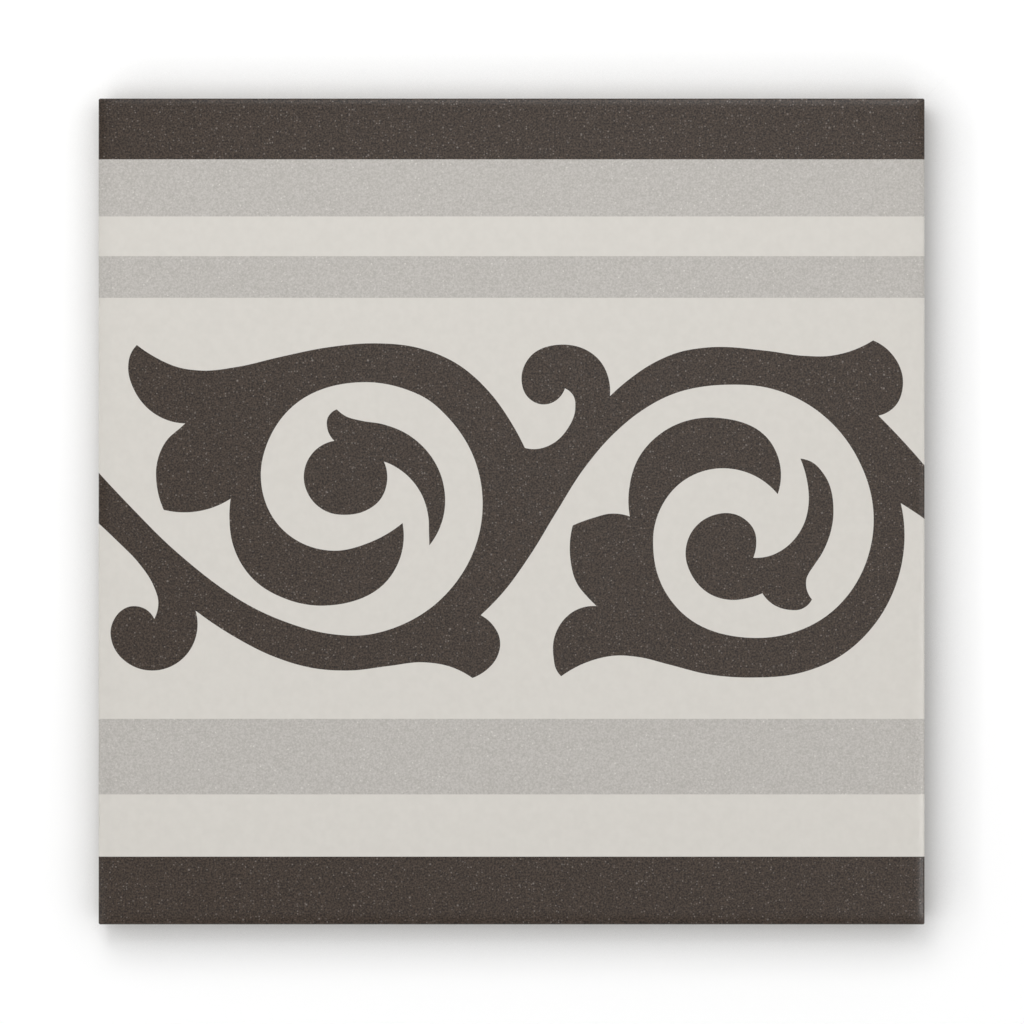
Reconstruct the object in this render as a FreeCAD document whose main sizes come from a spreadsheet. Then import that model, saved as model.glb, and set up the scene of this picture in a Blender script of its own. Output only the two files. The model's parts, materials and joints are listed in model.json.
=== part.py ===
"""Square dry-pressed porcelain border tile, lying face up, in millimetres.

The origin is the middle of the back, on the surface that the tile lies on. +X runs along the border,
+Y runs across it and +Z points out of the face. The tile is fired as one piece: a flat face with a
rounded arris, an upright land round its edge, walls that draw in below the land so that the pressed tile
leaves its die, and a back keyed with a grid of shallow pockets for the adhesive.
"""

import FreeCAD
import Part
import Sketcher

import math
import os

# Names that a sketch gives to the points of a line or an arc, and to its own origin
START, END, CENTRE = 1, 2, 3
SKETCH_ORIGIN = -1

# Heights closer than this, in millimetres, are the same
SAME_HEIGHT = 1e-6

# Driving dimensions: alias, value in millimetres (or a plain count, or degrees) and meaning
DIMENSIONS = [
    ("face_length", 200.0, "face along the border run"),
    ("face_width", 200.0, "face across the border"),
    ("tile_thickness", 9.0, "ribs of the back to the face"),
    ("land_depth", 3.5, "face to the foot of the upright land"),
    ("back_inset", 1.0, "face edge to back edge, on each side"),
    ("corner_radius", 0.8, "upright corners of the tile, in plan"),
    ("arris_radius", 0.7, "rounded edge of the face"),
    ("foot_chamfer", 0.4, "bevelled edge of the back"),
    ("rim_width", 6.0, "plain margin round the keyed back"),
    ("rib_width", 3.0, "rib between two pockets"),
    ("pockets_along", 9, "pockets along the border run"),
    ("pockets_across", 9, "pockets across the border"),
    ("pocket_depth", 0.8, "ribs to the floor of a pocket"),
    ("pocket_corner_radius", 2.0, "corners of a pocket's mouth"),
    ("pocket_draft_angle", 25.0, "slope of a pocket's walls, in degrees"),
]

# Sizes that follow from the driving dimensions
DRAFT_DEPTH = "(sizes.tile_thickness - sizes.land_depth)"
BACK_LENGTH = "(sizes.face_length - 2 * sizes.back_inset)"
BACK_WIDTH = "(sizes.face_width - 2 * sizes.back_inset)"
KEYED_LENGTH = f"({BACK_LENGTH} - 2 * sizes.rim_width)"
KEYED_WIDTH = f"({BACK_WIDTH} - 2 * sizes.rim_width)"
POCKET_LENGTH = f"(({KEYED_LENGTH} - (sizes.pockets_along - 1) * sizes.rib_width) / sizes.pockets_along)"
POCKET_WIDTH = f"(({KEYED_WIDTH} - (sizes.pockets_across - 1) * sizes.rib_width) / sizes.pockets_across)"


def make_sheet(doc):
    """The spreadsheet of driving dimensions, one row each: meaning, then the aliased value."""
    sheet = doc.addObject("Spreadsheet::Sheet", "sizes")
    for row, (alias, value, meaning) in enumerate(DIMENSIONS, start=1):
        sheet.set(f"A{row}", meaning)
        sheet.set(f"B{row}", str(value))
        sheet.setAlias(f"B{row}", alias)
    doc.recompute()
    return sheet


def origin_feature(body, role):
    """One of the body's own origin planes or axes, by its role."""
    return next(item for item in body.Origin.OriginFeatures if item.Role == role)


def rounded_rectangle(body, name, length, width, radius):
    """A round-cornered rectangle about the middle of an XY sketch, its sizes bound to expressions."""
    sketch = body.newObject("Sketcher::SketchObject", name)
    sketch.AttachmentSupport = [(origin_feature(body, "XY_Plane"), "")]
    sketch.MapMode = "FlatFace"
    half_x, half_y = (float(sketch.evalExpression(size)) / 2 for size in (length, width))
    bend = float(sketch.evalExpression(radius))
    up = FreeCAD.Vector(0, 0, 1)
    sides, corners = [], []
    for turn, (sign_x, sign_y) in enumerate(((1, -1), (1, 1), (-1, 1), (-1, -1))):
        centre = FreeCAD.Vector(sign_x * (half_x - bend), sign_y * (half_y - bend), 0)
        start_angle = (turn - 1) * math.pi / 2
        arc = Part.ArcOfCircle(Part.Circle(centre, up, bend), start_angle, start_angle + math.pi / 2)
        corners.append(sketch.addGeometry(arc, False))
    for last, corner in zip(corners[-1:] + corners[:-1], corners):
        run = Part.LineSegment(sketch.getPoint(last, END), sketch.getPoint(corner, START))
        side = sketch.addGeometry(run, False)
        sketch.addConstraint(Sketcher.Constraint("Tangent", last, END, side, START))
        sketch.addConstraint(Sketcher.Constraint("Tangent", side, END, corner, START))
        sides.append(side)
    bottom, right, top, left = sides
    for direction, pair in (("Horizontal", (bottom, top)), ("Vertical", (right, left))):
        for side in pair:
            sketch.addConstraint(Sketcher.Constraint(direction, side))
    for corner in corners[1:]:
        sketch.addConstraint(Sketcher.Constraint("Equal", corners[0], corner))
    opposite = (corners[1], CENTRE, corners[3], CENTRE)
    sketch.addConstraint(Sketcher.Constraint("Symmetric", *opposite, SKETCH_ORIGIN, START))
    sized = {
        "length": (length, Sketcher.Constraint("DistanceX", left, START, right, START, 2 * half_x)),
        "width": (width, Sketcher.Constraint("DistanceY", bottom, START, top, START, 2 * half_y)),
        "corner": (radius, Sketcher.Constraint("Radius", corners[0], bend)),
    }
    for label, (size, constraint) in sized.items():
        sketch.renameConstraint(sketch.addConstraint(constraint), label)
        sketch.setExpression(f"Constraints.{label}", size)
    return sketch


def edges_where(feature, test):
    """Names of the feature's edges that pass the test, for a fillet or a chamfer."""
    return [f"Edge{number}" for number, edge in enumerate(feature.Shape.Edges, start=1) if test(edge)]


def edge_heights(edge):
    """Lowest and highest z of an edge."""
    return edge.BoundBox.ZMin, edge.BoundBox.ZMax


def press_body(body):
    """The pressed blank: the drafted foot on the back's outline, then the upright land up to the face."""
    corner = "sizes.corner_radius"
    back = rounded_rectangle(body, "back_outline", BACK_LENGTH, BACK_WIDTH, corner)
    seat = rounded_rectangle(body, "land_outline", "sizes.face_length", "sizes.face_width", corner)
    seat.setExpression("AttachmentOffset.Base.z", DRAFT_DEPTH)
    foot = body.newObject("PartDesign::AdditiveLoft", "drafted_foot")
    foot.Profile = back
    foot.Sections = [seat]
    foot.Ruled = True
    land = body.newObject("PartDesign::Pad", "edge_land")
    land.Profile = seat
    land.setExpression("Length", "sizes.land_depth")
    body.Document.recompute()
    return land


def round_edges(body, blank, thickness):
    """Rounds the face's arris, and bevels the edge of the back."""
    arris = body.newObject("PartDesign::Fillet", "face_arris")
    arris.Base = (blank, edges_where(blank, lambda edge: edge_heights(edge)[0] > thickness - SAME_HEIGHT))
    arris.setExpression("Radius", "sizes.arris_radius")
    body.Document.recompute()

    foot = body.newObject("PartDesign::Chamfer", "foot_bevel")
    foot.Base = (arris, edges_where(arris, lambda edge: edge_heights(edge)[1] < SAME_HEIGHT))
    foot.setExpression("Size", "sizes.foot_chamfer")
    body.Document.recompute()


def key_back(body):
    """Cuts one pocket at the corner of the keyed back, then repeats it along and across the border."""
    corner = "sizes.pocket_corner_radius"
    mouth = rounded_rectangle(body, "pocket_mouth", POCKET_LENGTH, POCKET_WIDTH, corner)
    mouth.setExpression("AttachmentOffset.Base.x", f"({POCKET_LENGTH} - {KEYED_LENGTH}) / 2")
    mouth.setExpression("AttachmentOffset.Base.y", f"({POCKET_WIDTH} - {KEYED_WIDTH}) / 2")
    body.Document.recompute()
    pocket = body.newObject("PartDesign::Pocket", "key_pocket")
    pocket.Profile = mouth
    pocket.Reversed = True
    pocket.setExpression("Length", "sizes.pocket_depth")
    pocket.setExpression("TaperAngle", "-sizes.pocket_draft_angle")
    body.Document.recompute()

    grid = body.newObject("PartDesign::LinearPattern", "key_grid")
    grid.Originals = [pocket]
    grid.Direction = (origin_feature(body, "X_Axis"), [""])
    grid.setExpression("Length", f"{KEYED_LENGTH} - {POCKET_LENGTH}")
    grid.setExpression("Occurrences", "sizes.pockets_along")
    grid.Direction2 = (origin_feature(body, "Y_Axis"), [""])
    grid.setExpression("Length2", f"{KEYED_WIDTH} - {POCKET_WIDTH}")
    grid.setExpression("Occurrences2", "sizes.pockets_across")
    body.Tip = grid
    body.Document.recompute()


def check(doc, solids):
    """Stops the build if a feature failed or a sub-part is not one sound solid."""
    for item in doc.Objects:
        if {"Invalid", "Error"} & set(item.State):
            raise RuntimeError(f"{item.Name} failed: {item.State}")
    for body in solids:
        shape = body.Shape
        if shape.isNull() or not shape.isValid() or len(shape.Solids) != 1:
            raise RuntimeError(f"{body.Label} is not one valid solid")


def main():
    doc = FreeCAD.newDocument("border_tile")
    sheet = make_sheet(doc)
    tile = doc.addObject("PartDesign::Body", "border_tile")
    blank = press_body(tile)
    round_edges(tile, blank, sheet.tile_thickness)
    key_back(tile)
    doc.recompute()
    check(doc, [tile])
    os.makedirs("parts", exist_ok=True)
    tile.Shape.exportStep(f"parts/{tile.Label}.step")
    box = tile.Shape.BoundBox
    print(f"{tile.Label}: {box.XLength:.2f} x {box.YLength:.2f} x {box.ZLength:.2f} mm,"
          f" {tile.Shape.Volume / 1000:.1f} cm3, {len(tile.Shape.Faces)} faces")


main()
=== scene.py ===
# %% [markdown]
# # A Victorian border tile
#
# A border tile frames a floor of plain or patterned tiles. This one is a square of pressed porcelain,
# 200 mm across and 9 mm thick. Its face has straight stripes on both sides of a leafy scroll, which
# runs from tile to tile along the border.
#
# The tile is one fired piece, so it is one mesh here too. The pattern could be painted in a texture,
# but then its edges would blur as the camera comes closer. So the stripes and the scroll are cut into
# the face as edges, and each colour of glaze is a material on its own faces.

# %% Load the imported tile
import json
import math

import bmesh
import bpy
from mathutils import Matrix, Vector

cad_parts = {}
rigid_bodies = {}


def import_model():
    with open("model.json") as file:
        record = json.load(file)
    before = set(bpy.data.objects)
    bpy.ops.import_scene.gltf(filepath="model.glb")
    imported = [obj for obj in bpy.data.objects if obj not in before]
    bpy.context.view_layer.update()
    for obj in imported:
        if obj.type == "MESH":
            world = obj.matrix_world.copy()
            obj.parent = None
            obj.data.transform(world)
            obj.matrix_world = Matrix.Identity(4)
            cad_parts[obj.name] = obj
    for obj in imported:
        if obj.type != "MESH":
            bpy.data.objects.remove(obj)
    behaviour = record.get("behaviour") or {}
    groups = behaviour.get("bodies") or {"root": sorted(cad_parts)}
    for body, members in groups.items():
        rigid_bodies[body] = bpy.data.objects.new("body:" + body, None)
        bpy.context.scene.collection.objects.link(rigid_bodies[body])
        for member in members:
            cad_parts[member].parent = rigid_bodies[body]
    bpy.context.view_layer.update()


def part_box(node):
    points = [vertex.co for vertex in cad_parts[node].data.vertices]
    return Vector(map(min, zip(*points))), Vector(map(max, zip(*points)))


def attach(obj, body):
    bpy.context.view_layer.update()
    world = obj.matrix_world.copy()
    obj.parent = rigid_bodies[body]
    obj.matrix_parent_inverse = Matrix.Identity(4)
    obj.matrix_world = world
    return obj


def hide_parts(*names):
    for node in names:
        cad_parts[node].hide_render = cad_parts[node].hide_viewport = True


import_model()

MM = 0.001
low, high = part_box("border_tile")
face_size = high.x - low.x
face_height = high.z
print(f"The tile is {face_size / MM:.1f} mm square and {face_height / MM:.1f} mm thick")

# %% [markdown]
# ## Picking parts of a mesh
#
# By hand, an edge or a face is picked with the mouse. A script has no mouse, so it picks by place: a
# small test looks at each element and says whether it belongs. Everything else is deselected first,
# because an operator acts on all that is selected.

# %% Helpers that open a mesh for editing and pick by a test
SELECT_MODES = {"verts": "VERT", "edges": "EDGE", "faces": "FACE"}


def open_mesh(piece):
    """Enters edit mode on this piece alone, with nothing selected."""
    bpy.ops.object.select_all(action="DESELECT")
    piece.select_set(True)
    bpy.context.view_layer.objects.active = piece
    bpy.ops.object.mode_set(mode="EDIT")
    bpy.ops.mesh.select_all(action="DESELECT")


def close_mesh():
    """Leaves edit mode."""
    bpy.ops.object.mode_set(mode="OBJECT")


def pick(piece, kind, test):
    """Selects the verts, edges or faces that pass the test, and nothing else, and counts them."""
    bpy.ops.mesh.select_mode(type=SELECT_MODES[kind])
    bpy.ops.mesh.select_all(action="DESELECT")
    elements = [element for element in getattr(bmesh.from_edit_mesh(piece.data), kind) if test(element)]
    for element in elements:
        element.select_set(True)
    bmesh.update_edit_mesh(piece.data)
    return len(elements)


print("A test can pick", ", ".join(SELECT_MODES))

# %% [markdown]
# ## The face, its arris and the land
#
# A die presses the tile from dry clay powder. The face is flat, sinks a hair towards its edge like a
# cushion, and ends in a small round, the arris. Below the arris stands the land, the upright band that
# neighbouring tiles are set against. The glaze covers the face, the arris and the top of the land, so
# these are modelled first, as one open sheet: a plane gets round corners, its edge is extruded down for
# the land, the fold is bevelled for the arris, and the flat is inset in five steps, each lifted a
# little less than the one before, for the cushion. Last, four straight cuts keep the shading of a
# corner in the corner: smooth shading blends along a face from one end to the other, and without the
# cuts those faces would be as long as the tile.

# %% Press the glazed sheet
CORNER_RADIUS = 0.45 * MM
CORNER_STEPS = 6
GLAZED_DEPTH = 2.8 * MM
# Width and lift of each step, from the edge inwards
CUSHION_STEPS = [
    (0.35 * MM, 0.074 * MM),
    (0.40 * MM, 0.060 * MM),
    (0.45 * MM, 0.045 * MM),
    (0.50 * MM, 0.027 * MM),
    (0.60 * MM, 0.012 * MM),
]

edge_height = face_height - sum(lift for _, lift in CUSHION_STEPS)
sheet_foot = face_height - GLAZED_DEPTH

bpy.ops.object.select_all(action="DESELECT")
bpy.ops.mesh.primitive_plane_add(size=face_size, location=(0, 0, edge_height))
tile = bpy.context.object
tile.name = "glazed_border_tile"
bpy.ops.object.transform_apply(location=True, rotation=True, scale=True)

open_mesh(tile)
bpy.ops.mesh.select_all(action="SELECT")
bpy.ops.mesh.bevel(offset=CORNER_RADIUS, segments=CORNER_STEPS, affect="VERTICES")
pick(tile, "edges", lambda edge: True)
bpy.ops.mesh.extrude_edges_move(TRANSFORM_OT_translate={"value": (0, 0, sheet_foot - edge_height)})
close_mesh()
print(f"The sheet's edge is {edge_height / MM:.3f} mm up, and its foot {sheet_foot / MM:.3f} mm")

# %% Round the arris and raise the cushion
ARRIS_RADIUS = 0.45 * MM
ARRIS_STEPS = 8
CORNER_REACH = 3.2 * MM
SAME_PLACE = 0.005 * MM
ALONG = Vector((1, 0, 0))
ACROSS = Vector((0, 1, 0))


def at_height(element_verts, height):
    """Whether all of these vertices lie at a height."""
    return all(abs(vert.co.z - height) < SAME_PLACE for vert in element_verts)


open_mesh(tile)
pick(tile, "edges", lambda edge: at_height(edge.verts, edge_height))
bpy.ops.mesh.bevel(offset=ARRIS_RADIUS, segments=ARRIS_STEPS, affect="EDGES")
pick(tile, "edges", lambda edge: (
    at_height(edge.verts, edge_height) and edge.calc_length() < CORNER_RADIUS))
bpy.ops.mesh.edge_collapse()
pick(tile, "faces", lambda face: at_height(face.verts, edge_height))
for width, lift in CUSHION_STEPS:
    bpy.ops.mesh.inset(thickness=width, depth=lift)
for way in (ALONG, -ALONG, ACROSS, -ACROSS):
    bpy.ops.mesh.select_all(action="SELECT")
    bpy.ops.mesh.bisect(plane_co=way * (face_size / 2 - CORNER_REACH), plane_no=way)
close_mesh()
sheet_top = max(vert.co.z for vert in tile.data.vertices)
print(f"Glazed sheet: {len(tile.data.polygons)} faces, top at {sheet_top / MM:.3f} mm")

# %% [markdown]
# ## The stripes
#
# The stripes run straight across the tile and over its edges, so a flat plane cuts each border between
# two of them: the bisect tool. The cut edges are marked as seams. A seam changes nothing in the shape,
# but it stops a linked selection, which later picks each stripe with one click.

# %% Cut the stripes
STRIPES = [
    ("dark", 14.77 * MM),
    ("grey", 13.81 * MM),
    ("cream", 9.62 * MM),
    ("grey", 10.08 * MM),
    ("cream", 101.92 * MM),
    ("grey", 18.27 * MM),
    ("cream", 15.08 * MM),
    ("dark", 16.45 * MM),
]

open_mesh(tile)
bpy.ops.mesh.select_mode(type="EDGE")
stripe_middles = []
border = high.y
for number, (colour, width) in enumerate(STRIPES):
    stripe_middles.append((colour, border - width / 2))
    border -= width
    if number < len(STRIPES) - 1:
        bpy.ops.mesh.select_all(action="SELECT")
        bpy.ops.mesh.bisect(plane_co=ACROSS * border, plane_no=ACROSS)
        bpy.ops.mesh.mark_seam()
close_mesh()
print(f"Stripes end {(border - low.y) / MM:+.2f} mm from the edge of the tile")

# %% [markdown]
# ## The scroll's outline
#
# A pattern drawer sets out such a scroll with compasses: round stretches that pass smoothly into each
# other, with a sharp corner where a leaf or a curl springs off. The outline below is written the same
# way. Each run starts at a corner and goes to the next run's corner. Along a run the curve leaves every
# point in the direction of the circle through that point and its two neighbours, so a few points give
# true round bends.
#
# The main vine goes out past both sides of the tile, because its stem is cut off there and goes on in
# the next tile. Points are in millimetres from the middle of the face, x along the border and y across
# it.

# %% Points of the scroll
VINE = {
    "left stem and ring": [
        (-102.3, 12.0), (-91.4, 0.3), (-81.9, -9.1), (-57.1, -25.8), (-43.3, -29.7), (-36.5, -30.0),
        (-27.2, -27.7), (-17.6, -21.7), (-7.0, 1.7), (-9.4, 13.7), (-15.8, 23.2), (-20.3, 27.1),
        (-25.7, 29.6), (-35.5, 31.3), (-54.1, 24.4), (-59.1, 16.6), (-60.7, 9.2), (-55.3, -4.5),
        (-43.0, -9.5), (-34.6, -7.6)],
    "left crescent": [
        (-26.4, -2.8), (-26.3, -8.5), (-29.0, -15.3), (-45.4, -22.8), (-54.3, -21.3), (-63.0, -15.9),
        (-67.3, -8.5), (-68.3, -1.7)],
    "left leaf, lower lobe": [(-68.0, 3.1), (-78.3, -0.2)],
    "left leaf, middle lobe": [(-84.2, 0.4), (-85.9, 6.5), (-85.8, 11.9), (-83.4, 17.3), (-80.1, 20.3)],
    "left leaf, tip": [(-79.0, 21.3), (-87.3, 24.3), (-91.3, 29.3), (-92.8, 35.0), (-92.2, 38.1)],
    "left arch": [
        (-90.7, 40.3), (-86.0, 37.2), (-80.7, 34.9), (-74.6, 34.1), (-66.4, 35.0), (-55.6, 37.5),
        (-44.7, 39.7), (-33.1, 40.7), (-23.0, 39.7), (-13.3, 35.8), (-5.2, 28.7), (0.1, 21.2)],
    "fork": [(3.2, 15.4), (5.7, 15.1), (9.9, 16.4), (13.6, 20.1), (15.4, 24.8), (14.9, 28.1)],
    "upper ball": [
        (12.9, 29.8), (11.4, 27.4), (7.7, 25.9), (4.2, 27.4), (2.4, 32.0), (4.1, 37.0), (12.1, 40.4),
        (21.8, 35.9), (23.6, 31.6)],
    "right arch": [
        (23.8, 27.9), (28.1, 31.7), (34.1, 35.8), (40.7, 38.6), (47.4, 39.7), (61.7, 38.9),
        (70.5, 37.7), (77.3, 37.7)],
    "right bud": [(87.5, 41.4), (91.6, 38.6), (94.7, 30.3), (93.0, 25.7)],
    "right stem, upper side": [(88.8, 23.2), (94.4, 17.4)],
    "right stem, cut end": [(102.5, 8.1)],
    "right stem, lower side": [(102.5, -3.7), (96.9, 0.3)],
    "right ring, outer side": [
        (94.2, 2.0), (95.0, -3.1), (92.9, -18.1), (88.1, -27.0), (79.1, -35.3), (69.3, -39.2),
        (58.3, -40.2), (48.1, -39.5), (37.9, -37.0), (31.1, -35.3), (25.0, -34.9), (18.2, -36.5)],
    "right leaf, tip": [(12.0, -39.9), (10.7, -38.0), (10.2, -35.7), (10.4, -30.3), (17.0, -23.3)],
    "right leaf, middle lobe": [(20.6, -22.9), (18.2, -20.5), (16.1, -17.9), (14.2, -11.2)],
    "right leaf, upper lobe": [(14.8, -3.4), (19.6, -1.6), (24.4, -0.5)],
    "right crescent": [
        (28.6, -1.2), (28.5, 5.8), (30.6, 12.7), (36.0, 18.8), (49.5, 22.7), (62.6, 16.9),
        (65.1, 10.5)],
    "right ring and middle stem": [
        (64.4, 4.2), (55.5, 9.9), (44.1, 8.9), (34.7, -3.1), (34.3, -9.2), (35.9, -16.8), (41.1, -24.4),
        (58.3, -30.6), (76.2, -25.3), (87.2, -7.1), (87.4, 1.7), (84.2, 12.0), (77.5, 21.4),
        (61.7, 30.0), (53.6, 30.7), (38.0, 28.0), (31.2, 24.2), (24.5, 18.6), (17.6, 10.5),
        (10.8, -0.2), (4.4, -10.7), (-2.7, -20.3)],
    "left bud": [(-7.5, -25.1), (-4.7, -27.3), (-2.8, -31.3), (-3.6, -35.4), (-5.9, -38.2)],
    "left ring, outer side": [
        (-9.5, -40.3), (-14.2, -37.8), (-21.6, -36.5), (-29.7, -37.4), (-39.3, -38.5), (-48.1, -37.9),
        (-57.6, -35.1), (-67.3, -30.2)],
    "lower ball": [
        (-76.5, -24.0), (-76.2, -29.4), (-79.0, -35.0), (-86.5, -38.5), (-92.9, -36.7), (-96.5, -32.3),
        (-96.9, -27.9), (-91.2, -22.9), (-88.2, -23.9)],
    "left stem, lower side": [
        (-86.5, -26.0), (-85.5, -22.1), (-86.7, -17.9), (-90.4, -12.3), (-95.3, -7.3)],
    "left stem, cut end": [(-102.4, -0.7)],
}
LEFT_CURL = {
    "back": [
        (-42.3, 24.7), (-40.2, 23.1), (-36.5, 22.0), (-31.1, 21.1), (-24.9, 18.5), (-16.4, 6.1),
        (-16.6, -1.6)],
    "belly": [(-19.9, -8.2), (-20.0, -5.0), (-20.1, -1.7), (-22.2, 4.9)],
    "ball": [
        (-30.9, 12.1), (-30.1, 7.8), (-31.8, 2.9), (-35.8, 0.0), (-39.9, -0.8), (-44.8, 0.0),
        (-48.9, 3.6), (-50.3, 8.5), (-46.7, 15.5)],
    "beak": [(-42.9, 17.1), (-44.6, 20.1), (-44.4, 22.9)],
}
RIGHT_CURL = {
    "back": [
        (69.9, 12.8), (72.6, 12.0), (75.6, 9.0), (77.9, -0.3), (76.5, -7.2), (74.8, -10.7),
        (73.3, -12.9), (71.3, -16.7)],
    "bud": [(72.7, -21.3), (70.2, -23.6), (67.1, -23.8), (63.3, -22.5)],
    "ball": [
        (60.7, -19.8), (57.0, -21.0), (52.9, -21.4), (47.7, -19.8), (43.6, -15.4), (42.1, -9.9),
        (47.2, -1.6), (55.9, -1.5), (58.8, -4.8), (59.2, -8.2)],
    "belly": [(58.5, -11.2), (62.3, -10.8), (66.5, -8.6), (70.4, -3.8), (71.9, 2.0), (71.5, 7.5)],
}
SCROLL = [VINE, LEFT_CURL, RIGHT_CURL]
print(f"The scroll has {sum(len(run) for motif in SCROLL for run in motif.values())} points")

# %% [markdown]
# ## Bends like a compass would draw them
#
# Turning points into a curve needs a direction at each point and two handles. The direction of the
# circle through three points is found by turning the plane inside out about one of them: the circle
# becomes a straight line, and the line's direction is the one wanted. A handle as long as a third of
# the chord, divided by the squared cosine of a quarter of the bend, makes a Bezier stretch that follows
# a circle's arc.

# %% Find the bends of a run
def leaving(here, ahead, other):
    """Direction in which the circle through three points leaves the first for the second."""
    to_ahead = ahead - here
    to_other = other - here
    return (to_ahead / to_ahead.length_squared - to_other / to_other.length_squared).normalized()


def directions(run):
    """Direction of the curve at each point of a run."""
    if len(run) == 2:
        return [(run[1] - run[0]).normalized()] * 2
    inner = [leaving(here, after, before) for before, here, after in zip(run, run[1:], run[2:])]
    return [leaving(*run[:3]), *inner, -leaving(*run[:-4:-1])]


def stretches(run):
    """Each stretch of a run: its start, the two handles, and its end."""
    ways = directions(run)
    for start, end, way_out, way_in in zip(run, run[1:], ways, ways[1:]):
        reach = (end - start).length / (3 * math.cos(way_out.angle(way_in) / 4) ** 2)
        yield start, start + way_out * reach, end - way_in * reach, end


quarter_turn = [Vector((math.cos(turn), math.sin(turn))) for turn in (0, math.pi / 4, math.pi / 2)]
handle = next(stretches(quarter_turn))[1] - quarter_turn[0]
print(f"An eighth of a circle of radius 1 gets handles of {handle.length:.3f}")

# %% [markdown]
# ## The outline as curves
#
# Each motif becomes one closed spline of a curve object. Its handles are free, which means that the two
# handles of a knot needn't be in line, so the corner between two runs stays sharp. The curve lies a
# little above the face, because it becomes the upper edge of a cutter.

# %% Draw the scroll as Bezier curves
CURVE_STEPS = 12
CUTTER_ABOVE = 1.0 * MM


def draw_motif(curve, motif):
    """Adds a motif to a curve as one closed spline, with a sharp corner where two runs meet."""
    height = face_height + CUTTER_ABOVE
    runs = [[Vector((x * MM, y * MM, height)) for x, y in points] for points in motif.values()]
    corners = [run[0] for run in runs[1:] + runs[:1]]
    outline = [stretch for run, corner in zip(runs, corners) for stretch in stretches(run + [corner])]
    spline = curve.splines.new("BEZIER")
    spline.bezier_points.add(len(outline) - 1)
    spline.use_cyclic_u = True
    for knot, last, stretch in zip(spline.bezier_points, outline[-1:] + outline, outline):
        knot.handle_left_type = knot.handle_right_type = "FREE"
        knot.co, knot.handle_right = stretch[:2]
        knot.handle_left = last[2]


scroll_curve = bpy.data.curves.new("scroll_outline", "CURVE")
scroll_curve.dimensions = "3D"
scroll_curve.resolution_u = CURVE_STEPS
for motif in SCROLL:
    draw_motif(scroll_curve, motif)
cutter = bpy.data.objects.new("scroll_cutter", scroll_curve)
bpy.context.collection.objects.link(cutter)
print(f"Outlines drawn: {[len(spline.bezier_points) for spline in scroll_curve.splines]} knots")

# %% [markdown]
# ## Cutting the scroll into the face
#
# A pastry cutter has the shape of its outline and upright walls. The scroll's cutter is made the same
# way: the curve becomes a mesh of edges, and the edges are extruded down through the face. The
# intersect tool then cuts the sheet where the walls pass through it. The new edges are left selected,
# so they are marked as seams before the cutter is deleted. The cutter's own material tells its faces
# from the tile's.

# %% Cut the scroll
CUTTER_BELOW = 0.5 * MM

bpy.ops.object.select_all(action="DESELECT")
cutter.select_set(True)
bpy.context.view_layer.objects.active = cutter
bpy.ops.object.convert(target="MESH")
cutter.data.materials.append(bpy.data.materials.new("cutter"))
tile.data.materials.append(bpy.data.materials.new("uncut"))
open_mesh(cutter)
pick(cutter, "edges", lambda edge: True)
wall_depth = CUTTER_ABOVE + GLAZED_DEPTH + CUTTER_BELOW
bpy.ops.mesh.extrude_edges_move(TRANSFORM_OT_translate={"value": (0, 0, -wall_depth)})
close_mesh()

tile.select_set(True)
bpy.context.view_layer.objects.active = tile
bpy.ops.object.join()
cutter_slot = tile.material_slots.find("cutter")

open_mesh(tile)
pick(tile, "faces", lambda face: face.material_index == cutter_slot)
bpy.ops.mesh.select_mode(type="EDGE")
bpy.ops.mesh.intersect(mode="SELECT_UNSELECT", separate_mode="NONE", solver="EXACT")
selected = sum(edge.select for edge in bmesh.from_edit_mesh(tile.data).edges)
bpy.ops.mesh.mark_seam()
pick(tile, "faces", lambda face: face.material_index == cutter_slot)
bpy.ops.mesh.delete(type="FACE")
close_mesh()
print(f"The cutter left {selected} cut edges; the sheet has {len(tile.data.polygons)} faces")

# %% [markdown]
# ## The body below the glaze
#
# Under the glazed sheet the clay is bare. The land goes on down for a little, and from its foot the
# walls draw in by 1 mm on each side, so that the pressed tile slides out of its die. The edge of the
# back is bevelled, or it would chip on its way to the kiln. The sheet's open edge is extruded down
# three times: to the foot of the land, down the drafted wall, and in along the bevel. A seam keeps the
# glaze and the bare clay apart.

# %% Draw the walls down to the back
LAND_FOOT = 5.5 * MM
BACK_INSET = 1.0 * MM
FOOT_BEVEL = 0.4 * MM

half_face = face_size / 2
half_back = half_face - BACK_INSET
bevel_top = half_back + BACK_INSET * FOOT_BEVEL / LAND_FOOT
wall_steps = [(LAND_FOOT, half_face), (FOOT_BEVEL, bevel_top), (low.z, half_back - FOOT_BEVEL)]

open_mesh(tile)
pick(tile, "edges", lambda edge: edge.is_boundary)
bpy.ops.mesh.mark_seam()
height, half_size = sheet_foot, half_face
for next_height, next_half in wall_steps:
    shrink = next_half / half_size
    bpy.ops.mesh.extrude_edges_move(TRANSFORM_OT_translate={"value": (0, 0, next_height - height)})
    bpy.ops.transform.resize(value=(shrink, shrink, 1), center_override=(0, 0, 0))
    height, half_size = next_height, next_half
close_mesh()
print(f"The walls draw in from {2 * half_face / MM:.1f} to {2 * half_back / MM:.1f} mm")

# %% [markdown]
# ## A pocket of the keyed back
#
# Adhesive grips a back that is pressed full of shallow pockets. All 81 are alike, so only one is
# modelled. Its mouth is a plane with bevelled corners. A larger square round it takes half of the rib
# on each side, and the fill tool closes the space between them. The mouth is then inset upwards into
# the body, with sloping walls, and its rim is bevelled softly.

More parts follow.
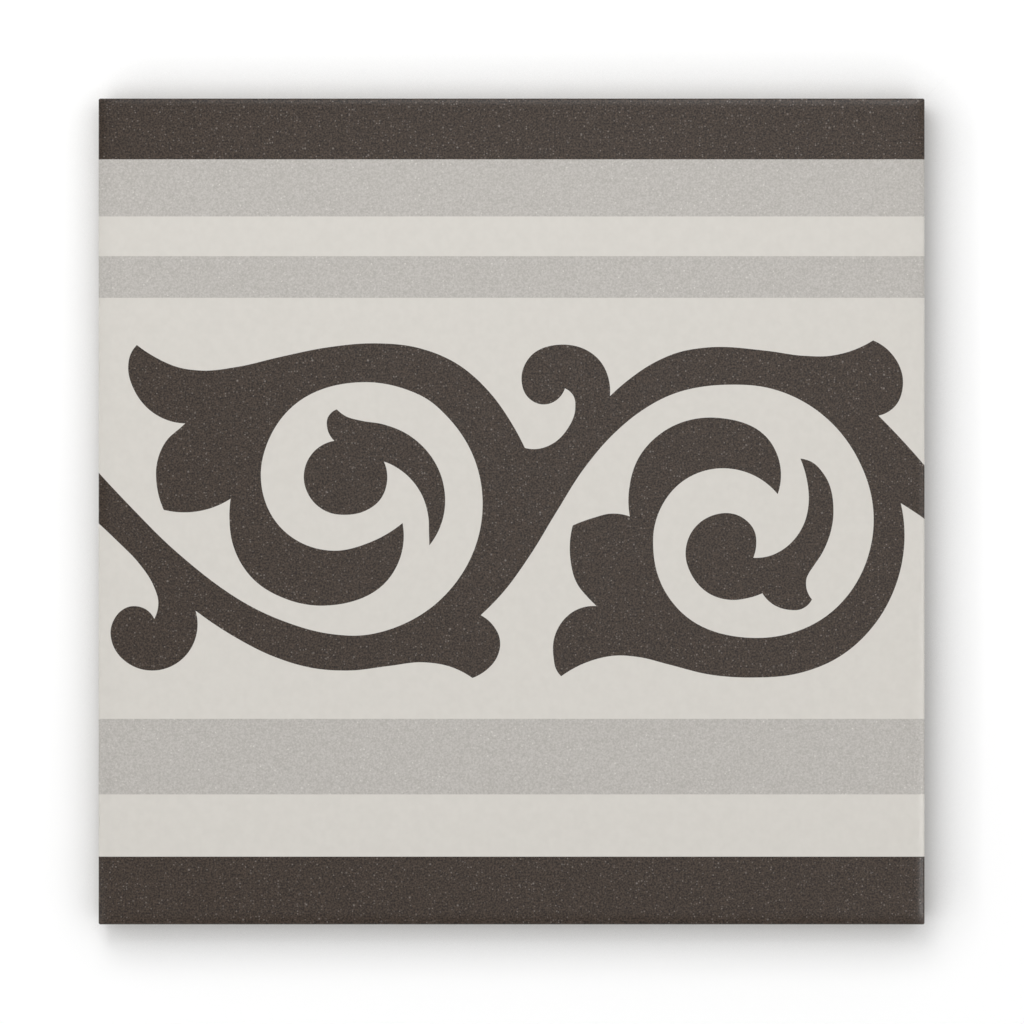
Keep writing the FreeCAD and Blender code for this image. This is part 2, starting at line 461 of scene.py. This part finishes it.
# %% Model one pocket with the ribs round it
POCKET_COUNT = 9
POCKET_SIZE = 18.0 * MM
POCKET_CORNER = 2.0 * MM
POCKET_CORNER_STEPS = 5
POCKET_DEPTH = 0.8 * MM
POCKET_SLOPE = math.radians(25)
POCKET_RIM = 0.15 * MM
POCKET_RIM_STEPS = 2
RIB_WIDTH = 3.0 * MM
QUAD_CORNERS = 4

pitch = POCKET_SIZE + RIB_WIDTH
first = -pitch * (POCKET_COUNT - 1) / 2

bpy.ops.object.select_all(action="DESELECT")
bpy.ops.mesh.primitive_plane_add(size=POCKET_SIZE, location=(first, first, low.z), rotation=(math.pi, 0, 0))
keys = bpy.context.object
keys.name = "keyed_back"
bpy.ops.object.transform_apply(location=True, rotation=True, scale=True)
open_mesh(keys)
bpy.ops.mesh.select_all(action="SELECT")
bpy.ops.mesh.bevel(offset=POCKET_CORNER, segments=POCKET_CORNER_STEPS, affect="VERTICES")
bpy.ops.mesh.primitive_plane_add(size=pitch, location=(first, first, low.z))
bpy.ops.mesh.delete(type="ONLY_FACE")
pick(keys, "edges", lambda edge: True)
bpy.ops.mesh.fill(use_beauty=True)
pick(keys, "faces", lambda face: len(face.verts) > QUAD_CORNERS)
bpy.ops.mesh.inset(thickness=POCKET_DEPTH * math.tan(POCKET_SLOPE), depth=-POCKET_DEPTH)


def on_rim(edge):
    """Whether an edge is the fold between the flat back and a pocket's wall."""
    flat_back = not edge.is_boundary and at_height(edge.verts, low.z)
    return flat_back and edge.calc_face_angle() > POCKET_SLOPE


bpy.ops.mesh.select_all(action="SELECT")
bpy.ops.mesh.normals_make_consistent(inside=False)
rim_edges = pick(keys, "edges", on_rim)
bpy.ops.mesh.bevel(offset=POCKET_RIM, segments=POCKET_RIM_STEPS, affect="EDGES")
close_mesh()
print(f"One pocket: {len(keys.data.polygons)} faces, {rim_edges} edges round its mouth")

# %% [markdown]
# ## Closing the back
#
# The array modifier repeats the pocket along the tile and then across it, and merges the copies where
# their ribs meet. The field of pockets is then joined to the tile, and the fill tool closes the frame
# that is left between the field and the walls. In a closed mesh every edge lies between two faces, so
# the edges that don't are counted at the end.

# %% Repeat the pocket and close the back
SLIVER = 0.015 * MM

for shift in ((pitch, 0, 0), (0, pitch, 0)):
    array = keys.modifiers.new("row of pockets", "ARRAY")
    array.count = POCKET_COUNT
    array.use_relative_offset = False
    array.use_constant_offset = True
    array.constant_offset_displace = shift
    array.use_merge_vertices = True
    array.merge_threshold = SAME_PLACE
    bpy.ops.object.modifier_apply(modifier=array.name)

tile.select_set(True)
bpy.context.view_layer.objects.active = tile
bpy.ops.object.join()
open_mesh(tile)
pick(tile, "edges", lambda edge: edge.is_boundary)
bpy.ops.mesh.fill(use_beauty=True)
bpy.ops.mesh.select_all(action="SELECT")
bpy.ops.mesh.remove_doubles(threshold=SAME_PLACE)
bpy.ops.mesh.dissolve_degenerate(threshold=SLIVER)
bpy.ops.mesh.normals_make_consistent(inside=False)
open_edges = pick(tile, "edges", lambda edge: len(edge.link_faces) != 2)
close_mesh()
print(f"The tile is closed with {open_edges} open edges and {len(tile.data.polygons)} faces")

# %% [markdown]
# ## Node helpers
#
# Every material below is a small network of nodes. A few helpers keep its code short: one adds a node
# and fills or links its inputs in one go, three place the nodes that are used most, and one starts a
# node group with named sockets. A group is an effect that is built once and placed in several
# materials. Colours are written as they show on screen, and the last helper turns them into the linear
# values that a shader reads.

# %% Helpers for node networks
MIX_FACTOR, MIX_FIRST, MIX_SECOND, MIX_RESULT = 0, 6, 7, 2
SCREEN_STEPS = 255
SCREEN_OFFSET = 0.055
SCREEN_POWER = 2.4


def add_node(tree, kind, inputs=None, **settings):
    """Adds a node with its settings. Each input gets a value, or a link from another node's output."""
    node = tree.nodes.new(kind)
    for name, value in settings.items():
        setattr(node, name, value)
    for key, value in (inputs or {}).items():
        if isinstance(value, bpy.types.NodeSocket):
            tree.links.new(value, node.inputs[key])
        else:
            node.inputs[key].default_value = value
    return node


def calculate(tree, operation, first_value, second_value):
    """Output of a Math node."""
    inputs = {0: first_value, 1: second_value}
    return add_node(tree, "ShaderNodeMath", inputs, operation=operation).outputs[0]


def spread(tree, value, start, end, to_start=0.0, to_end=1.0):
    """Stretches the values between start and end over a new range, and holds them at its ends."""
    inputs = {"Value": value, "From Min": start, "From Max": end, "To Min": to_start, "To Max": to_end}
    return add_node(tree, "ShaderNodeMapRange", inputs).outputs[0]


def blend_colours(tree, factor, first_colour, second_colour):
    """Output of a Mix node for two colours. Its sockets go by number, because some share a name."""
    inputs = {MIX_FACTOR: factor, MIX_FIRST: first_colour, MIX_SECOND: second_colour}
    return add_node(tree, "ShaderNodeMix", inputs, data_type="RGBA").outputs[MIX_RESULT]


def start_group(name, inputs, outputs):
    """A new shader node group with number inputs and outputs, and its two end nodes."""
    group = bpy.data.node_groups.new(name, "ShaderNodeTree")
    for socket, value in inputs.items():
        entry = group.interface.new_socket(socket, in_out="INPUT", socket_type="NodeSocketFloat")
        entry.default_value = value
    for socket in outputs:
        group.interface.new_socket(socket, in_out="OUTPUT", socket_type="NodeSocketFloat")
    return group, group.nodes.new("NodeGroupInput").outputs, group.nodes.new("NodeGroupOutput").inputs


def tint(red, green, blue):
    """A colour as it shows on screen, turned into the linear colour that a shader reads."""
    steps = [value / SCREEN_STEPS for value in (red, green, blue)]
    return [*(((step + SCREEN_OFFSET) / (1 + SCREEN_OFFSET)) ** SCREEN_POWER for step in steps), 1.0]


print(f"A mid grey of 128 on screen is {tint(128, 128, 128)[0]:.3f} to a shader")

# %% [markdown]
# ## What the glazes share: grain and specks
#
# The three glazes differ in colour, but they were milled, sprayed and fired alike, so what they share
# is built once, as node groups. Grain is the fine mottle of colour grains that melted side by side.
# Specks are single coarse grains: Voronoi cells give each one a place, and the cell's own random colour
# decides whether it shows and how strongly.

# %% Groups for grain and specks
NOISE_RANGE = (0.3, 0.7)
SPECK_EDGE = 1.0
SPECK_CORE = 0.4

grain_group, ends, results = start_group("glaze grain", {"Grains per metre": 2400}, ["Grain"])
place = add_node(grain_group, "ShaderNodeTexCoord").outputs["Object"]
grains = add_node(grain_group, "ShaderNodeTexNoise", {
    "Vector": place, "Scale": ends["Grains per metre"], "Detail": 1.0, "Roughness": 0.6})
grain_group.links.new(spread(grain_group, grains.outputs[0], *NOISE_RANGE), results["Grain"])

speck_group, ends, results = start_group(
    "glaze specks", {"Specks per metre": 700, "Share": 0.3, "Size": 0.2}, ["Speck"])
place = add_node(speck_group, "ShaderNodeTexCoord").outputs["Object"]
cells = add_node(speck_group, "ShaderNodeTexVoronoi", {"Vector": place, "Scale": ends["Specks per metre"]})
chance = add_node(speck_group, "ShaderNodeSeparateColor", {"Color": cells.outputs["Color"]}).outputs
shown = calculate(speck_group, "LESS_THAN", chance["Red"], ends["Share"])
reach = calculate(speck_group, "DIVIDE", cells.outputs["Distance"], ends["Size"])
strength = calculate(speck_group, "MULTIPLY", shown, chance["Green"])
speck = calculate(speck_group, "MULTIPLY", strength, spread(speck_group, reach, SPECK_EDGE, SPECK_CORE))
speck_group.links.new(speck, results["Speck"])
print("Effects:", [group.name for group in (grain_group, speck_group)])

# %% [markdown]
# ## What the glazes share: skin and glaze line
#
# The skin is how the melt settled, a faint ripple that also makes the gloss uneven. The glaze line is
# where the spray ran out on the upright land. A slow noise makes it a little wavy, because no spray
# ends in a straight line.

# %% Groups for the skin and the glaze line
RIPPLES_PER_METRE = 350.0
GLAZE_ROUGHNESS = (0.29, 0.37)
WAVES_PER_METRE = 70.0
GLAZE_END = 7.0 * MM
GLAZE_WAVE = 0.4 * MM
GLAZE_FADE = 0.35 * MM

skin_group, _, results = start_group("glaze skin", {}, ["Height", "Roughness"])
place = add_node(skin_group, "ShaderNodeTexCoord").outputs["Object"]
ripple = add_node(skin_group, "ShaderNodeTexNoise", {
    "Vector": place, "Scale": RIPPLES_PER_METRE, "Detail": 1.0}).outputs[0]
skin_group.links.new(ripple, results["Height"])
roughness = spread(skin_group, ripple, *NOISE_RANGE, *GLAZE_ROUGHNESS)
skin_group.links.new(roughness, results["Roughness"])

line_group, _, results = start_group("glaze line", {}, ["Bare"])
place = add_node(line_group, "ShaderNodeTexCoord").outputs["Object"]
depth = add_node(line_group, "ShaderNodeSeparateXYZ", {"Vector": place}).outputs["Z"]
noise = add_node(line_group, "ShaderNodeTexNoise", {
    "Vector": place, "Scale": WAVES_PER_METRE, "Detail": 1.0}).outputs[0]
wave = spread(line_group, noise, *NOISE_RANGE, -GLAZE_WAVE, GLAZE_WAVE)
wavy_depth = calculate(line_group, "ADD", depth, wave)
bare = spread(line_group, wavy_depth, GLAZE_END, GLAZE_END - GLAZE_FADE)
line_group.links.new(bare, results["Bare"])
print("Effects:", [group.name for group in (skin_group, line_group)])

# %% [markdown]
# ## The bare porcelain
#
# The walls and the back are the fired clay itself: a warm pale grey, dull and dry, with a few dark
# specks of iron.

# %% Mix the bare porcelain
BODY_PALE = tint(184, 176, 164)
BODY_DEEP = tint(166, 158, 146)
IRON = tint(96, 80, 68)
CLAY_ROUGHNESS = (0.72, 0.86)
CLAY_BUMP = {"Strength": 0.25, "Distance": 0.05 * MM}


def use_group(tree, group, **values):
    """Places a node group in a material, with its own values, and gives its outputs."""
    node = add_node(tree, "ShaderNodeGroup", node_tree=group)
    for name, value in values.items():
        node.inputs[name.replace("_", " ").capitalize()].default_value = value
    return node.outputs


def start_material(name):
    """A new material, its node tree and its shader."""
    material = bpy.data.materials.new(name)
    material.use_nodes = True
    return material, material.node_tree, material.node_tree.nodes["Principled BSDF"]


bare_porcelain, tree, shader = start_material("bare_porcelain")
grain = use_group(tree, grain_group, grains_per_metre=1200)["Grain"]
iron = use_group(tree, speck_group, specks_per_metre=260, share=0.3, size=0.12)["Speck"]
clay = blend_colours(tree, grain, BODY_DEEP, BODY_PALE)
tree.links.new(blend_colours(tree, iron, clay, IRON), shader.inputs["Base Color"])
tree.links.new(spread(tree, grain, 0.0, 1.0, *CLAY_ROUGHNESS), shader.inputs["Roughness"])
bump = add_node(tree, "ShaderNodeBump", {"Height": grain, **CLAY_BUMP})
tree.links.new(bump.outputs["Normal"], shader.inputs["Normal"])
print(f"{bare_porcelain.name} is ready")

# %% [markdown]
# ## The three glazes
#
# Each glaze mixes two tones by its grain. The dark and the grey one also have light specks. On the
# upright land, each gives way to bare clay below the glaze line.

# %% Mix the glazes
GLAZE_BUMP = {"Strength": 0.3, "Distance": 0.03 * MM}
ROUGHER_WHERE_BARE = 0.4


def mix_glaze(name, deep, pale, grains, specks=(), speck_colour=None):
    """A satin glaze: two tones mixed by fine grain, with light specks if any, down to the glaze line."""
    material, tree, shader = start_material(name)
    grain = use_group(tree, grain_group, grains_per_metre=grains)["Grain"]
    colour = blend_colours(tree, grain, deep, pale)
    for values in specks:
        speck = use_group(tree, speck_group, **values)["Speck"]
        colour = blend_colours(tree, speck, colour, speck_colour)
    bare = use_group(tree, line_group)["Bare"]
    clay = blend_colours(tree, grain, BODY_DEEP, BODY_PALE)
    tree.links.new(blend_colours(tree, bare, colour, clay), shader.inputs["Base Color"])
    skin = use_group(tree, skin_group)
    rougher = calculate(tree, "MULTIPLY", bare, ROUGHER_WHERE_BARE)
    roughness = calculate(tree, "ADD", skin["Roughness"], rougher)
    tree.links.new(roughness, shader.inputs["Roughness"])
    bump = add_node(tree, "ShaderNodeBump", {"Height": skin["Height"], **GLAZE_BUMP})
    tree.links.new(bump.outputs["Normal"], shader.inputs["Normal"])
    return material


FINE = {"specks_per_metre": 1500, "share": 0.42, "size": 0.34}
COARSE = {"specks_per_metre": 600, "share": 0.2, "size": 0.2}
SPARSE = {"specks_per_metre": 1200, "share": 0.3, "size": 0.3}
dark_glaze = mix_glaze(
    "dark_glaze", deep=tint(20, 13, 7), pale=tint(75, 62, 52), grains=2350,
    specks=[FINE, COARSE], speck_colour=tint(124, 116, 109))
grey_glaze = mix_glaze(
    "grey_glaze", deep=tint(171, 167, 161), pale=tint(193, 189, 184), grains=2400,
    specks=[SPARSE], speck_colour=tint(213, 210, 204))
cream_glaze = mix_glaze("cream_glaze", deep=tint(209, 205, 198), pale=tint(212, 208, 201), grains=500)
print("Glazes:", [glaze.name for glaze in (dark_glaze, grey_glaze, cream_glaze)])

# %% [markdown]
# ## Colouring the face
#
# Now each part of the pattern is clicked once. A ray straight down finds the face under a point, as a
# mouse click would, and a linked selection spreads from it up to the seams. Cream is the ground, so the
# whole sheet takes it first.

# %% Give each part of the pattern its glaze
tile.data.materials.clear()
for material in (bare_porcelain, cream_glaze, grey_glaze, dark_glaze):
    tile.data.materials.append(material)
SLOTS = {"bare": 0, "cream": 1, "grey": 2, "dark": 3}
SCROLL_SPOTS = [(0.0, 5.0), (-45.0, 8.0), (50.0, -10.0)]
RAY_START = 1.0
UP = Vector((0, 0, 1))
CM = 0.01


def face_under(x, y):
    """Number of the face that a ray straight down meets."""
    _, _, _, face_number = tile.ray_cast(Vector((x, y, RAY_START)), -UP)
    return face_number


clicks = [(colour, 0.0, y) for colour, y in stripe_middles if colour != "cream"]
clicks += [("dark", x * MM, y * MM) for x, y in SCROLL_SPOTS]
hits = [(colour, face_under(x, y)) for colour, x, y in clicks]


def paint(colour):
    """Gives the selected faces a material."""
    tile.active_material_index = SLOTS[colour]
    bpy.ops.object.material_slot_assign()


open_mesh(tile)
bpy.ops.mesh.select_all(action="SELECT")
paint("bare")
pick(tile, "faces", lambda face: all(vert.co.z > sheet_foot - SAME_PLACE for vert in face.verts))
paint("cream")
for colour, face_number in hits:
    pick(tile, "faces", lambda face: face.index == face_number)
    bpy.ops.mesh.select_linked(delimit={"SEAM"})
    paint(colour)
close_mesh()
areas = dict.fromkeys(SLOTS, 0.0)
for face in tile.data.polygons:
    areas[list(SLOTS)[face.material_index]] += face.area
print("Area in square centimetres:", {slot: round(area / CM ** 2, 1) for slot, area in areas.items()})

# %% [markdown]
# ## Clean faces and smooth shading
#
# Cutting left faces with hundreds of corners. They are split into triangles, which any program reads
# alike. Then the arris is shaded smooth, and the weighted normal modifier lets the large flat faces set
# the direction of shading next to it, so the flat stays flat. Last, the tile is set to ride on the
# part's one body, and the imported solid that it stands for is hidden.

# %% Split the large faces and smooth the shading
SMOOTH_ANGLE = math.radians(30)

open_mesh(tile)
pick(tile, "faces", lambda face: len(face.verts) > QUAD_CORNERS)
bpy.ops.mesh.quads_convert_to_tris(quad_method="BEAUTY", ngon_method="BEAUTY")
close_mesh()
bpy.ops.object.shade_smooth_by_angle(angle=SMOOTH_ANGLE)
weighted = tile.modifiers.new("flat faces lead", "WEIGHTED_NORMAL")
weighted.keep_sharp = True
bpy.ops.object.modifier_apply(modifier=weighted.name)

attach(tile, "root")
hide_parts("border_tile")
print(f"The tile has {len(tile.data.polygons)} faces")

# %% [markdown]
# ## A map for baking
#
# Where a model leaves Blender, its node materials are baked into one picture, and a UV map says which
# part of the picture each face takes. An automatic map would give the hidden back as much room as the
# face, and would blur the pattern's edges, because neighbouring colours share a pixel there. So the
# faces are laid out here: every stripe has its own place, the scroll lies above them, and the walls and
# the smaller back fill the column beside them.

# %% Lay the faces out on a map
FACE_SCALE = 3.3
WALL_SCALE = 6.6
BACK_SCALE = 1.6
MAP_GAP = 0.006
UPRIGHT = 0.3
SCROLL_REACH = 42 * MM

stripe_borders = [middle - width / 2 for (_, middle), (_, width) in zip(stripe_middles, STRIPES)][:-1]
face_middle = MAP_GAP + FACE_SCALE * half_face
scroll_middle = face_middle + FACE_SCALE * (half_face + SCROLL_REACH) + (len(STRIPES) + 1) * MAP_GAP
column = 2 * face_middle
back_middle = MAP_GAP + BACK_SCALE * half_back
wall_middle = 2 * back_middle + FACE_SCALE * half_face
wall_pitch = WALL_SCALE * face_height + MAP_GAP


def place_on_map(face):
    """A face's place on the map: where the tile's origin falls, and the directions that u and v follow."""
    if face.normal.z < -UPRIGHT:
        return (column + back_middle, back_middle), -ALONG * BACK_SCALE, ACROSS * BACK_SCALE
    if face.normal.z < UPRIGHT:
        faces_x = abs(face.normal.x) > abs(face.normal.y)
        side = (0 if face.normal.x > 0 else 1) if faces_x else (2 if face.normal.y > 0 else 3)
        level = ACROSS if faces_x else ALONG
        return (column + side * wall_pitch, wall_middle), UP * WALL_SCALE, level * FACE_SCALE
    number = sum(face.center.y < border for border in stripe_borders)
    if face.material_index == SLOTS["dark"] and STRIPES[number][0] == "cream":
        return (face_middle, scroll_middle), ALONG * FACE_SCALE, ACROSS * FACE_SCALE
    lift = (len(STRIPES) - 1 - number) * MAP_GAP
    return (face_middle, face_middle + lift), ALONG * FACE_SCALE, ACROSS * FACE_SCALE


bake_map = tile.data.uv_layers.new(name="OFBake")
for face in tile.data.polygons:
    (u, v), u_way, v_way = place_on_map(face)
    for corner in face.loop_indices:
        spot = tile.data.vertices[tile.data.loops[corner].vertex_index].co
        bake_map.uv[corner].vector = (u + u_way.dot(spot), v + v_way.dot(spot))
laid_out = [corner.vector for corner in bake_map.uv]
print(f"The map runs to {max(spot.x for spot in laid_out):.3f} by {max(spot.y for spot in laid_out):.3f}")

# %% [markdown]
# ## The floor
#
# The tile lies on a white floor. A floor that is white enough for the picture would throw too much
# light back at the tile, so a Light Path node tells the rays apart: the floor is a touch brighter to
# the camera than to the tile, which makes the open floor white and leaves the shadow. Close to the tile
# a shade is painted into the floor's colour. This painted shade looks for what stands near, mostly
# towards the left, so it is deeper on the right of the tile.

# %% Lay the floor
FLOOR_SIZE = 40.0
FLOOR_WHITE = (0.98, 0.98, 0.98, 1)
FLOOR_BOUNCE = (0.75, 0.75, 0.75, 1)
FLOOR_LIFT = (0.08, 0.08, 0.08, 1)
# Darkest colour of the shade that is painted into the floor next to the tile
FLOOR_PAINTED_SHADE = (0.28, 0.28, 0.28, 1)
FLOOR_GAP = 0.05 * MM
PAINTED_SHADE_REACH = 16 * MM
PAINTED_SHADE_RAYS = 4
PAINTED_SHADE_LEAN = Vector((-0.28, -0.05, 1.0)).normalized()
BLACK = (0, 0, 0, 1)

bpy.ops.object.select_all(action="DESELECT")
bpy.ops.mesh.primitive_plane_add(size=FLOOR_SIZE, location=(0, 0, low.z - FLOOR_GAP))
floor = bpy.context.object
floor.name = "floor"
white_floor, tree, shader = start_material("white_floor")
path = add_node(tree, "ShaderNodeLightPath").outputs
seen = calculate(tree, "MAXIMUM", path["Is Camera Ray"], path["Is Glossy Ray"])
seen = calculate(tree, "MAXIMUM", seen, path["Is Transmission Ray"])
lean = add_node(tree, "ShaderNodeCombineXYZ", dict(enumerate(PAINTED_SHADE_LEAN))).outputs[0]
# An Ambient Occlusion node paints shade into the floor's colour where the tile stands near
painted_shade_ao = add_node(tree, "ShaderNodeAmbientOcclusion", {
    "Distance": PAINTED_SHADE_REACH, "Normal": lean}, samples=PAINTED_SHADE_RAYS)
openness = painted_shade_ao.outputs["AO"]
shaded = blend_colours(tree, openness, FLOOR_PAINTED_SHADE, FLOOR_WHITE)
tree.links.new(blend_colours(tree, seen, FLOOR_BOUNCE, shaded), shader.inputs["Base Color"])
tree.links.new(blend_colours(tree, seen, BLACK, FLOOR_LIFT), shader.inputs["Emission Color"])
shader.inputs["Emission Strength"].default_value = 1.0
shader.inputs["Roughness"].default_value = 1.0
shader.inputs["Specular IOR Level"].default_value = 0.0
floor.data.materials.append(white_floor)
print(f"Floor of {FLOOR_SIZE:.0f} m, {FLOOR_GAP / MM:.2f} mm below the tile")

# %% [markdown]
# ## Light
#
# The room has pale walls and a dim ceiling. Two soft panels light the tile: a long one above, and a
# smaller one behind, a little to the left. Like lamps with a polarising filter, as used to photograph
# paintings, they leave no glare on the face. Four small lamps give only the glints: one above for a
# soft sheen on the flat, and one behind, one at the right and a weak one at the left for the edges that
# turn towards them.

# %% Light the room
WALL_TONE = (0.8, 0.8, 0.8, 1)
CEILING_TONE = (0.15, 0.15, 0.15, 1)
CEILING_STARTS, CEILING_FULL = 0.3, 0.8

world = bpy.data.worlds.new("pale_room")
world.use_nodes = True
tree = world.node_tree
looking = add_node(tree, "ShaderNodeTexCoord").outputs["Generated"]
way_up = add_node(tree, "ShaderNodeSeparateXYZ", {"Vector": looking}).outputs["Z"]
ceiling = spread(tree, way_up, CEILING_STARTS, CEILING_FULL)
room_colour = blend_colours(tree, ceiling, WALL_TONE, CEILING_TONE)
tree.links.new(room_colour, tree.nodes["Background"].inputs["Color"])
bpy.context.scene.world = world
print(f"The walls of {world.name} have a tone of {WALL_TONE[0]}, its ceiling {CEILING_TONE[0]}")

# %% Hang the lamps
# A lamp's name, its place and its width and height in metres, and its watts
PANELS = [
    ("panel_above", (0, 0, 3.0), (7.0, 3.5), 75.8),
    ("panel_behind", (-0.18, 0.60, 0.80), (0.53, 0.60), 3.08),
]
GLINTS = [
    ("glint_above", (0.02, 0.05, 1.7), (0.40, 0.36), 0.76),
    ("glint_behind", (0.14, 0.48, 0.90), (0.60, 0.22), 1.35),
    ("glint_right", (0.50, -0.20, 0.89), (0.30, 0.20), 1.4),
    ("glint_left", (-0.50, -0.36, 0.86), (0.20, 0.20), 0.8),
]


def hang_lamp(name, place, size, watts):
    """A soft rectangular lamp at a place, turned towards the tile."""
    turn = (-Vector(place)).to_track_quat("-Z", "Y").to_euler()
    bpy.ops.object.light_add(type="AREA", location=place, rotation=turn)
    lamp = bpy.context.object
    lamp.name = name
    lamp.data.shape = "RECTANGLE"
    lamp.data.size, lamp.data.size_y = size
    lamp.data.energy = watts
    lamp.visible_camera = False
    return lamp


for panel in PANELS:
    hang_lamp(*panel).visible_glossy = False
for glint in GLINTS:
    hang_lamp(*glint).visible_diffuse = False

# %% [markdown]
# ## Camera
#
# The photograph looks straight down, and its edges run parallel, so a long lens far above the face
# matches it.

# %% Set the camera
LENS = 200.0
SENSOR = 36.0
VIEW_WIDTH = 247.85 * MM
VIEW_MIDDLE = (0.097 * MM, -0.127 * MM)

distance = VIEW_WIDTH * LENS / SENSOR
bpy.ops.object.camera_add(location=(*VIEW_MIDDLE, face_height + distance), rotation=(0, 0, 0))
camera = bpy.context.object
camera.data.lens = LENS
camera.data.sensor_width = SENSOR
bpy.context.scene.camera = camera
bpy.context.scene.view_settings.view_transform = "Standard"
print(f"The camera is {distance:.3f} m above the face")
